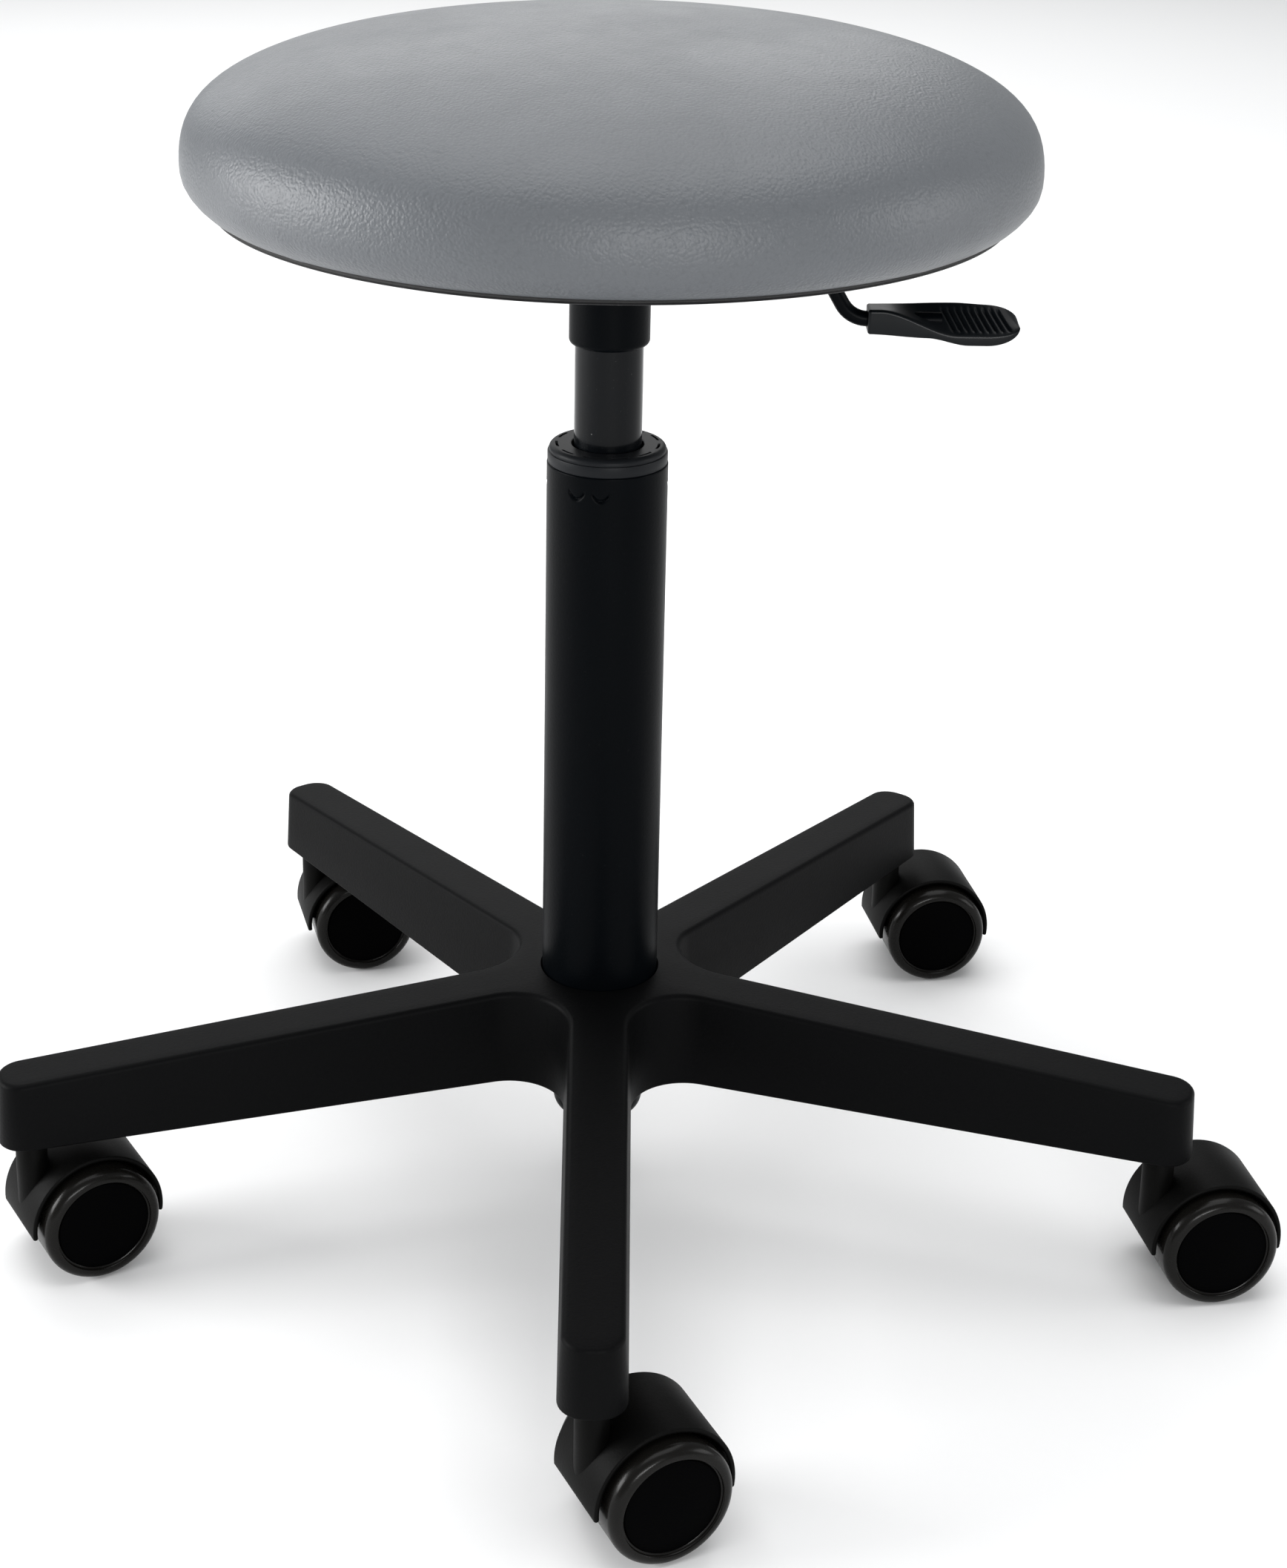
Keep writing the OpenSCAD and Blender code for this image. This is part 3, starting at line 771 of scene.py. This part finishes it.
class ArmPlan:
    """Outline of the five arms and the webs between them, with outward normals."""

    def __init__(self):
        self.half_hub = 12.6
        self.half_tip = 11.8
        self.web_r = 25
        self.tip_r = 10
        self.reach = 260
        self.hub_r = 26
        self.tip_top = 91
        self.edge_r = 2.4
        self.slope = (HUB_TOP - self.tip_top) / (self.reach - self.hub_r)
        self.draft = math.tan(math.radians(2.7))
        self.loop = []
        half = self.half_edge()
        flat = [(self.reach, y, 1, 0) for y in (-0.9, 0, 0.9)]
        arm = [(x, -y, nx, -ny) for x, y, nx, ny in half] + flat + list(reversed(half))
        for k in range(ARMS):
            a = math.radians(-90 + ARM_STEP * k)
            c, s = math.cos(a), math.sin(a)
            for x, y, nx, ny in arm[:-1]:
                self.loop.append((x * c - y * s, x * s + y * c, nx * c - ny * s, nx * s + ny * c))

    def half_edge(self):
        """One side of an arm, from the middle of the web to the tip's flat end."""
        turn = math.radians(ARM_STEP / 2)
        web_c = (self.half_hub + self.web_r) / math.sin(turn)
        middle = (web_c * math.cos(turn), web_c * math.sin(turn))
        edge = []
        for x, y in arc(middle, self.web_r, 216, 270, 12):
            edge.append((x, y, (middle[0] - x) / self.web_r, (middle[1] - y) / self.web_r))
        start = edge[-1]
        end_x = self.reach - self.tip_r
        steps = 34
        for i in range(1, steps):
            t = i / steps
            edge.append((blend(start[0], end_x, t), blend(start[1], self.half_tip, t), 0, 1))
        corner = (end_x, self.half_tip - self.tip_r)
        for x, y in arc(corner, self.tip_r, 90, 0, 10):
            edge.append((x, y, (x - corner[0]) / self.tip_r, (y - corner[1]) / self.tip_r))
        return edge

    def top(self, x, y):
        return HUB_TOP - self.slope * max(math.hypot(x, y) - self.hub_r, 0)

    def level(self, inset, height):
        """The outline drawn in by inset, at height(x, y)."""
        out = []
        for x, y, nx, ny in self.loop:
            px = x - inset * nx
            py = y - inset * ny
            out.append((px, py, height(px, py)))
        return out

    def side(self, inset, z_of):
        """The outline on the drafted side, at z_of(top height)."""
        out = []
        for x, y, nx, ny in self.loop:
            edge_z = self.top(x, y) - self.edge_r
            z = z_of(edge_z)
            out_by = (edge_z - z) * self.draft - inset
            out.append((x + out_by * nx, y + out_by * ny, z))
        return out


def ring_of_points(r, count):
    return [(r * math.cos(math.tau * i / count), r * math.sin(math.tau * i / count)) for i in range(count)]


def arm_frame(k):
    return Matrix.Rotation(math.radians(-90 + ARM_STEP * k), 4, "Z")


def make_star_base():
    plan = ArmPlan()
    edge_r = plan.edge_r
    wall = 3.2
    skin = 3.5
    stem_r = 248
    under = ARM_UNDER
    form = Form()
    rows = []
    for t in range(0, 91, 15):
        inset = edge_r * (1 - math.sin(math.radians(t)))
        drop = edge_r * (1 - math.cos(math.radians(t)))
        rows.append(plan.level(inset, lambda x, y, d=drop: plan.top(x, y) - d))
    rows.append(plan.side(0, lambda e: blend(e, under + 1, 0.5)))
    rows.append(plan.side(0, lambda e: under + 1))
    for t in (30, 60, 90):
        c, s = math.cos(math.radians(t)), math.sin(math.radians(t))
        rows.append(plan.side(1 - c, lambda e, s=s: under + 1 - s))
    rows.append(plan.side(wall, lambda e: under))
    inner = []
    for x, y, nx, ny in plan.loop:
        px = x - wall * nx
        py = y - wall * ny
        inner.append((px, py, plan.top(px, py) - skin))
    rows.append(inner)
    form.skin(rows)

    mouth = TUBE_R + 0.8
    boss = 29.0
    circle = ring_of_points(mouth, 120)
    foot_circle = ring_of_points(boss, 120)
    inside = []
    for k in range(ARMS):
        turn = arm_frame(k)
        for i in range(36):
            for y in (-6, 0, 6):
                p = turn @ Vector((42 + 6 * i, y, 0))
                inside.append((p.x, p.y))
    hub_rings = ring_of_points(29.5, 60) + ring_of_points(33, 60)
    form.sheet([rows[0], circle], inside + hub_rings, plan.top, lambda x, y: math.hypot(x, y) > mouth)
    form.sheet([inner, foot_circle], inside, lambda x, y: plan.top(x, y) - skin,
               lambda x, y: math.hypot(x, y) > boss)
    low_r = TUBE_R - TAPER + 0.04
    ceiling = plan.top(boss, 0) - skin
    socket = [(mouth, HUB_TOP), (TUBE_R + 0.45, HUB_TOP - 0.5), (TUBE_R + 0.06, HUB_TOP - 1.4)]
    socket += [(low_r, under - 0.5), (boss - 1, under - 0.5), (boss, under + 0.5), (boss, ceiling)]
    form.turn(socket, 120)
    for k in range(ARMS):
        turn = arm_frame(k)
        for x in range(66, 232, 28):
            w = 9.6
            foot = under + 2
            head = plan.top(x + 2, 0) - 3
            box = [(x, -w), (x + 2, -w), (x + 2, w), (x, w)]
            form.skin([[turn @ Vector((px, py, z)) for px, py in box] for z in (foot, head)], caps=True)
        stem = turn @ Matrix.Translation((stem_r, 0, 0))
        head = plan.top(stem_r, 0) - 3
        hole = 5.55
        tower = [(hole, under), (8.6, under), (9, under + 0.4), (9, head), (hole, head), (hole, under)]
        form.turn(tower, 48, stem)
    form.piece("star_base_moulded", finish_named("base_nylon"), "base", ["star_base"], 32)


def hood_section(inner, outer, half, soft, thin=1.0):
    """Closed (radius, across) outline of the hood's bent plate."""
    mid = (inner + outer) / 2
    deep = (outer - inner) / 2 * thin
    soft = min(soft, deep * 0.95)
    lo, hi = mid - deep, mid + deep
    h = half - (1 - thin) * 0.6
    out = []
    for centre, start in (((hi - soft, h - soft), 0), ((lo + soft, h - soft), 90),
                          ((lo + soft, -h + soft), 180), ((hi - soft, -h + soft), 270)):
        out += arc(centre, soft, start, start + 90, 3)
    return out


def make_caster_housing(k):
    place, trail = caster_place(k)
    outer = 28.5
    inner = 26.5
    half = 18.5
    axle = Vector((trail, 0, WHEEL_R))
    form = Form()
    rear, front = -8.0, 184.0
    stations = [(rear - 1.2, 0.30), (rear - 0.9, 0.75), (rear, 1.0)]
    steps = 60
    stations += [(blend(rear, front, i / steps), 1.0) for i in range(1, steps + 1)]
    stations += [(front + 0.6, 0.8), (front + 0.8, 0.4)]
    rows = []
    for angle, thin in stations:
        a = math.radians(angle)
        row = []
        for r, y in hood_section(inner, outer, half, 0.8, thin):
            row.append(place @ (axle + Vector((r * math.cos(a), y, r * math.sin(a)))))
        rows.append(row)
    form.skin(rows, caps=True)

    # Neck round the stem, run down into the hood
    along, across = 6.4, 7.6
    neck_top = 59.5
    count = 56
    follow = 27.5
    rows = []
    for inset, z in ((0.9, neck_top), (0.35, neck_top - 0.2), (0, neck_top - 0.9)):
        rows.append([((along - inset) * x, (across - inset) * y, z) for x, y in ring_of_points(1, count)])
    foot = []
    for i in range(count):
        x = along * math.cos(math.tau * i / count)
        y = across * math.sin(math.tau * i / count)
        reach = follow * follow - (x - trail) ** 2
        z = WHEEL_R + math.sqrt(max(reach, 0.0))
        foot.append((x, y, max(z, 27.0)))
    rows.append([(x, y, blend(z, neck_top - 0.9, 0.5)) for x, y, z in foot])
    rows.append(foot)
    form.skin([[place @ Vector(p) for p in row] for row in rows], caps=True)

    # Web between the wheels, and the axle's boss
    web = arc((0, 0), 26.9, -8, 187, 40)
    rows = []
    for y, inset in ((-3.5, 0.6), (-3.0, 0), (3.0, 0), (3.5, 0.6)):
        rows.append([place @ (axle + Vector((x * (1 - inset / 27), y, z + inset * 0.5))) for x, z in web])
    form.skin(rows, caps=True)
    boss = place @ Matrix.Translation(axle) @ Matrix.Rotation(math.radians(90), 4, "X")
    hole = 3.05
    form.turn([(hole, -3.5), (7, -3.5), (7.5, -3), (7.5, 3), (7, 3.5), (hole, 3.5), (hole, -3.5)], 40, boss)
    form.piece(f"caster_hood_{k}", finish_named("caster_nylon"), f"caster_{k}",
               [f"caster_housing_{k}"], 38)


def make_wheel(k, side):
    place, trail = caster_place(k)
    hub = place @ Matrix.Translation((trail, 0, WHEEL_R))
    hub = hub @ Matrix.Rotation(math.radians(-90 * SIDES[side]), 4, "X")
    r = WHEEL_R
    out = 25.5
    near = 4.3
    shoulder = 4.1
    rim = 19.46
    tyre = [(rim + 0.02, near + 0.4), (rim + 0.5, near), (r - 1.5, near)]
    tyre += arc((r - 1.5, near + 1.5), 1.5, -90, 0, 4)
    tyre += [(r, out - shoulder - 4)]
    tyre += arc((r - shoulder, out - shoulder), shoulder, 0, 96, 10)
    tyre += [(rim + 1.15, out - 0.42), (rim + 0.85, out - 0.75), (rim + 0.72, out - 1.3)]
    tyre += [(rim + 0.1, out - 1.5), (rim + 0.02, out - 1.6)]
    tyre.append(tyre[0])
    form = Form()
    form.turn(tyre, 96, hub)
    form.piece(f"tyre_{k}{side}", finish_named("tyre_grey"), f"wheel_{k}{side}",
               [f"wheel_tyre_{k}{side}"], 40)

    hole = 3.06
    disc = [(hole, near), (6.6, near), (7, near + 0.4), (7, out - 3.5), (rim - 2, out - 3.5)]
    disc += [(rim - 2, near), (rim - 0.1, near), (rim - 0.02, out - 1.9)]
    disc += arc((rim - 0.6, out - 1.6), 0.55, 0, 80, 3)
    for i in range(1, 9):
        t = i / 8
        disc.append(((rim - 0.7) * (1 - t), out - 1.05 + 1.2 * math.sin(math.radians(90 * t))))
    disc += [(0, 21.1), (hole, 21.1)]
    disc.append(disc[0])
    form = Form()
    form.turn(disc, 96, hub)
    form.piece(f"disc_{k}{side}", finish_named("disc_plastic"), f"wheel_{k}{side}",
               [f"wheel_disc_{k}{side}"], 40)


def rounded_corners(corners_yz, radius, steps=4):
    """A closed outline of points with each corner rounded off."""
    out = []
    count = len(corners_yz)
    for i in range(count):
        here = Vector(corners_yz[i])
        before = Vector(corners_yz[i - 1]) - here
        after = Vector(corners_yz[(i + 1) % count]) - here
        cut = min(radius, before.length * 0.4, after.length * 0.4)
        start = here + before.normalized() * cut
        end = here + after.normalized() * cut
        for s in range(steps + 1):
            t = s / steps
            out.append((1 - t) ** 2 * start + 2 * t * (1 - t) * here + t * t * end)
    return out


def make_lever_paddle():
    root = PADDLE_LOW.x
    tip = 165.5
    back = 6.0
    middle_z = 397.0
    tip_from = 152.0
    grooves = [134.3 + 2.86 * i for i in range(9)]
    groove_w = 0.62
    groove_deep = 0.75
    face_steps = 14
    rows = []
    x_values = [root + 0.5 * (1 - math.cos(math.radians(a))) for a in (0, 60)]
    x_values += [root + 0.8 + 0.4 * i for i in range(int((tip - root - 0.9) / 0.4))]
    x_values += [tip - 0.15, tip - 0.02]
    for x in x_values:
        top = through([(104, 403.5), (139, 404.8), (155, 404.1)], x)
        ledge = through([(108, 403.6), (141, 393.8), (155, 393.9)], x)
        bottom = through([(104, 393.3), (128, 392.2), (145, 389.4)], x)
        front = through([(108, -6), (141, -7)], x)
        inset = 0.5 * (1 - min((x - root) / 0.8, 1)) ** 2
        f = 1.0
        if x > tip_from:
            f = math.sqrt(max(1 - ((x - tip_from) / (tip - tip_from)) ** 2, 0.0))
        wide = blend(0.72, 1, f)
        corners_yz = [(back * wide - inset, blend(middle_z, top, f) - inset),
                      (front * wide + inset, blend(middle_z, min(ledge, top - 0.05), f) - inset),
                      (front * wide + inset, blend(middle_z, bottom, f) + inset),
                      (back * wide - inset, blend(middle_z, bottom, f) + inset)]
        ring = rounded_corners(corners_yz, 1.3 * max(f, 0.15))
        first, last = ring[4], ring[5]
        face = [first.lerp(last, i / face_steps) for i in range(1, face_steps)]
        normal = Vector((last.y - first.y, -(last.x - first.x)))
        normal = normal.normalized() if normal.length else Vector((0, 1))
        if normal.y < 0:
            normal = -normal
        sunk = []
        for p in face:
            slant = x - (3 - p.x) / 8 * 4.3
            near = min(abs(slant - g) for g in grooves)
            ends = ease((p.x - front + 0.2 - 1.4) / 1.4) * ease((back - 2.0 - p.x) / 1.4)
            deep = groove_deep * ease(1.25 - near / groove_w) * ends * ease((f - 0.35) / 0.3)
            sunk.append(p - normal * deep)
        ring = ring[:5] + sunk + ring[5:]
        rows.append([(x, p.x, p.y) for p in ring])
    form = Form()
    form.skin(rows, caps=True)
    grey = finish_named("paddle_grey")
    form.piece("lever_paddle_moulded", grey, "lever", ["lever_paddle"], 45)


# ---- Settings ----

def colour(name, text, default):
    return FloatVectorProperty(name=name, description=text, default=default, subtype="COLOR", min=0, max=1)


class StoolColours(bpy.types.PropertyGroup):
    """Colours and grain of the stool's finishes."""

    vinyl: colour("Vinyl", "Colour of the seat's vinyl", (0.096, 0.103, 0.112))
    cloth: colour("Cloth", "Colour of the cloth under the seat", (0.004, 0.004, 0.0045))
    paint: colour("Paint", "Colour of the column and collar", (0.0008, 0.0013, 0.0019))
    cylinder: colour("Cylinder", "Colour of the gas cylinder", (0.0026, 0.0032, 0.0040))
    lever: colour("Lever", "Colour of the lever rod", (0.0010, 0.0015, 0.0022))
    base: colour("Base", "Colour of the five-star base", (0.0012, 0.0013, 0.0015))
    caster: colour("Hoods", "Colour of the caster hoods", (0.0012, 0.0012, 0.0011))
    disc: colour("Discs", "Colour of the wheel discs", (0.0003, 0.0003, 0.0004))
    sleeve: colour("Sleeve", "Colour of the guide sleeve", (0.0080, 0.0090, 0.0105))
    tyre: colour("Tyres", "Colour of the tyres", (0.0040, 0.0037, 0.0032))
    paddle: colour("Paddle", "Colour of the lever's paddle", (0.0028, 0.0038, 0.0048))
    grain: FloatProperty(name="Vinyl grain", description="Size of the vinyl's pebbles in millimetres",
                         default=1.15, min=0.4, max=4)


class StageSettings(bpy.types.PropertyGroup):
    """Floor, lights and camera of the stage."""

    paper: colour("Paper", "Colour of the floor and backdrop", (0.86, 0.86, 0.86))
    depth: FloatProperty(name="Stage depth", description="Reach of the floor from the stool", default=9,
                         unit="LENGTH", min=1)
    sky: FloatProperty(name="Surround", description="Strength of the even light all round",
                       default=0.45, min=0)
    ceiling: FloatProperty(name="Ceiling", description="Power of the wide ceiling light in watts",
                           default=80, min=0)
    window: FloatProperty(name="Window", description="Power of the window behind, in watts",
                          default=34, min=0)
    lamp: FloatProperty(name="Left window", description="Power of the window on the left, in watts",
                        default=56, min=0)
    lens: FloatProperty(name="Lens", description="Focal length in millimetres", default=65.28, min=20)


# ---- Operators ----

class StoolMake:
    """Shared traits of the operators that make pieces."""

    bl_options = {"REGISTER", "UNDO"}

    def execute(self, context):
        self.make(context)
        return {"FINISHED"}


class STOOL_OT_seat(StoolMake, bpy.types.Operator):
    """Make the padded vinyl seat cover and the stapled cloth under it"""

    bl_idname = "stool.seat"
    bl_label = "Seat Cover"

    def make(self, context):
        make_seat_cover()
        make_dust_cloth()


class STOOL_OT_column(StoolMake, bpy.types.Operator):
    """Make the column tube and the guide sleeve's cap"""

    bl_idname = "stool.column"
    bl_label = "Column and Sleeve"

    def make(self, context):
        make_column_tube()
        make_guide_sleeve()


class STOOL_OT_base(StoolMake, bpy.types.Operator):
    """Make the five-star base"""

    bl_idname = "stool.base"
    bl_label = "Star Base"

    def make(self, context):
        make_star_base()


class STOOL_OT_casters(StoolMake, bpy.types.Operator):
    """Make the five casters: hood, tyres and discs"""

    bl_idname = "stool.casters"
    bl_label = "Casters"

    def make(self, context):
        for k in range(1, ARMS + 1):
            make_caster_housing(k)
            for side in SIDES:
                make_wheel(k, side)


class STOOL_OT_lever(StoolMake, bpy.types.Operator):
    """Make the lever's grooved paddle"""

    bl_idname = "stool.lever"
    bl_label = "Lever Paddle"

    def make(self, context):
        make_lever_paddle()


class STOOL_OT_hardware(StoolMake, bpy.types.Operator):
    """Give every exact part that stays its finish"""

    bl_idname = "stool.hardware"
    bl_label = "Exact Parts"

    def make(self, context):
        slots = {row["node"]: row["material_slot"] for row in frame["record"]["subparts"]}
        for name, node in NODES.items():
            if node.hide_render:
                continue
            finish = finish_named(slots[name])
            if not node.material_slots:
                node.data.materials.append(finish)
            for place in node.material_slots:
                place.material = finish


class STOOL_OT_stage(StoolMake, bpy.types.Operator):
    """Make the floor, the lights and the camera"""

    bl_idname = "stool.stage"
    bl_label = "Stage"

    def make(self, context):
        settings = context.scene.stool_stage
        make_floor(settings)
        make_lights(settings)
        make_camera(settings)


def make_floor(settings):
    """A wide round floor, in rings so that its paper grain has points to sit on."""
    reach = settings.depth / MM
    count = 96
    rows = [[(x, y, 0) for x, y in ring_of_points(r, count)] for r in (300, 600, 1200, 2400, reach)]
    form = Form()
    rings = form.skin(rows)
    form.faces.append(tuple(rings[0]))
    mesh = bpy.data.meshes.new("stage_floor")
    mesh.from_pydata([p * MM for p in form.points], [], form.faces)
    mesh.materials.append(stage_paper(settings.paper))
    floor = bpy.data.objects.new("stage_floor", mesh)
    bpy.context.scene.collection.objects.link(floor)


def area_light(name, place, aim, size, power):
    light = bpy.data.lights.new(name, "AREA")
    light.shape = "RECTANGLE"
    light.size, light.size_y = size
    light.energy = power
    obj = bpy.data.objects.new(name, light)
    obj.location = place
    obj.rotation_euler = (Vector(aim) - Vector(place)).to_track_quat("-Z", "Y").to_euler()
    bpy.context.scene.collection.objects.link(obj)


def make_lights(settings):
    world = bpy.data.worlds.new("studio_surround")
    world.use_nodes = True
    surround = world.node_tree.nodes["Background"]
    surround.inputs["Color"].default_value = (0.97, 0.985, 1.0, 1)
    surround.inputs["Strength"].default_value = settings.sky
    bpy.context.scene.world = world
    area_light("window_back", (-0.7, 3.0, 1.9), (0, 0, 0.4), (3.4, 2.2), settings.window)
    area_light("window_left", (-2.4, -0.1, 0.75), (0, 0, 0.45), (1.5, 0.9), settings.lamp)
    area_light("lamp_front", (0.5, -2.5, 0.75), (0, 0, 0.45), (1.1, 0.3), settings.lamp * 0.5)
    area_light("window_right", (2.6, -0.3, 0.8), (0, 0, 0.45), (1.3, 0.9), settings.lamp * 0.28)
    area_light("ceiling", (0, 0.3, 3.0), (0, 0, 0), (3.2, 3.2), settings.ceiling)


def make_camera(settings):
    """The view from in front and a little above, with a slight roll."""
    yaw, pitch, roll = math.radians(0.788), math.radians(19.438), math.radians(1.186)
    ahead = Vector((math.sin(yaw) * math.cos(pitch), math.cos(yaw) * math.cos(pitch), -math.sin(pitch)))
    right = Vector((math.cos(yaw), -math.sin(yaw), 0))
    above = right.cross(ahead)
    side = math.cos(roll) * right + math.sin(roll) * above
    head = -math.sin(roll) * right + math.cos(roll) * above
    lens = bpy.data.cameras.new("front_camera")
    lens.lens = settings.lens
    lens.sensor_fit = "VERTICAL"
    lens.sensor_height = 36
    lens.shift_y = -0.169
    lens.clip_start = 0.05
    camera = bpy.data.objects.new("front_camera", lens)
    turn = Matrix((side, head, -ahead)).transposed().to_4x4()
    camera.matrix_world = Matrix.Translation((0, -1.11017, 0.70284)) @ turn
    bpy.context.scene.collection.objects.link(camera)
    bpy.context.scene.camera = camera


MAKERS = (STOOL_OT_stage, STOOL_OT_seat, STOOL_OT_column, STOOL_OT_base, STOOL_OT_casters, STOOL_OT_lever,
          STOOL_OT_hardware)


class STOOL_PT_panel(bpy.types.Panel):
    """Lists the stool's makers"""

    bl_idname = "STOOL_PT_panel"
    bl_label = "Swivel Stool"
    bl_space_type = "VIEW_3D"
    bl_region_type = "UI"
    bl_category = "Stool"

    def draw(self, context):
        for maker in MAKERS:
            self.layout.operator(maker.bl_idname)


CLASSES = (StoolColours, StageSettings, *MAKERS, STOOL_PT_panel)


def register():
    for item in CLASSES:
        bpy.utils.register_class(item)
    bpy.types.Scene.stool_colours = PointerProperty(type=StoolColours)
    bpy.types.Scene.stool_stage = PointerProperty(type=StageSettings)


def unregister():
    del bpy.types.Scene.stool_stage
    del bpy.types.Scene.stool_colours
    for item in reversed(CLASSES):
        bpy.utils.unregister_class(item)


def main():
    register()
    bpy.context.scene.view_settings.view_transform = "Standard"
    for maker in MAKERS:
        group, name = maker.bl_idname.split(".")
        getattr(getattr(bpy.ops, group), name)()


if __name__ == "__main__":
    main()
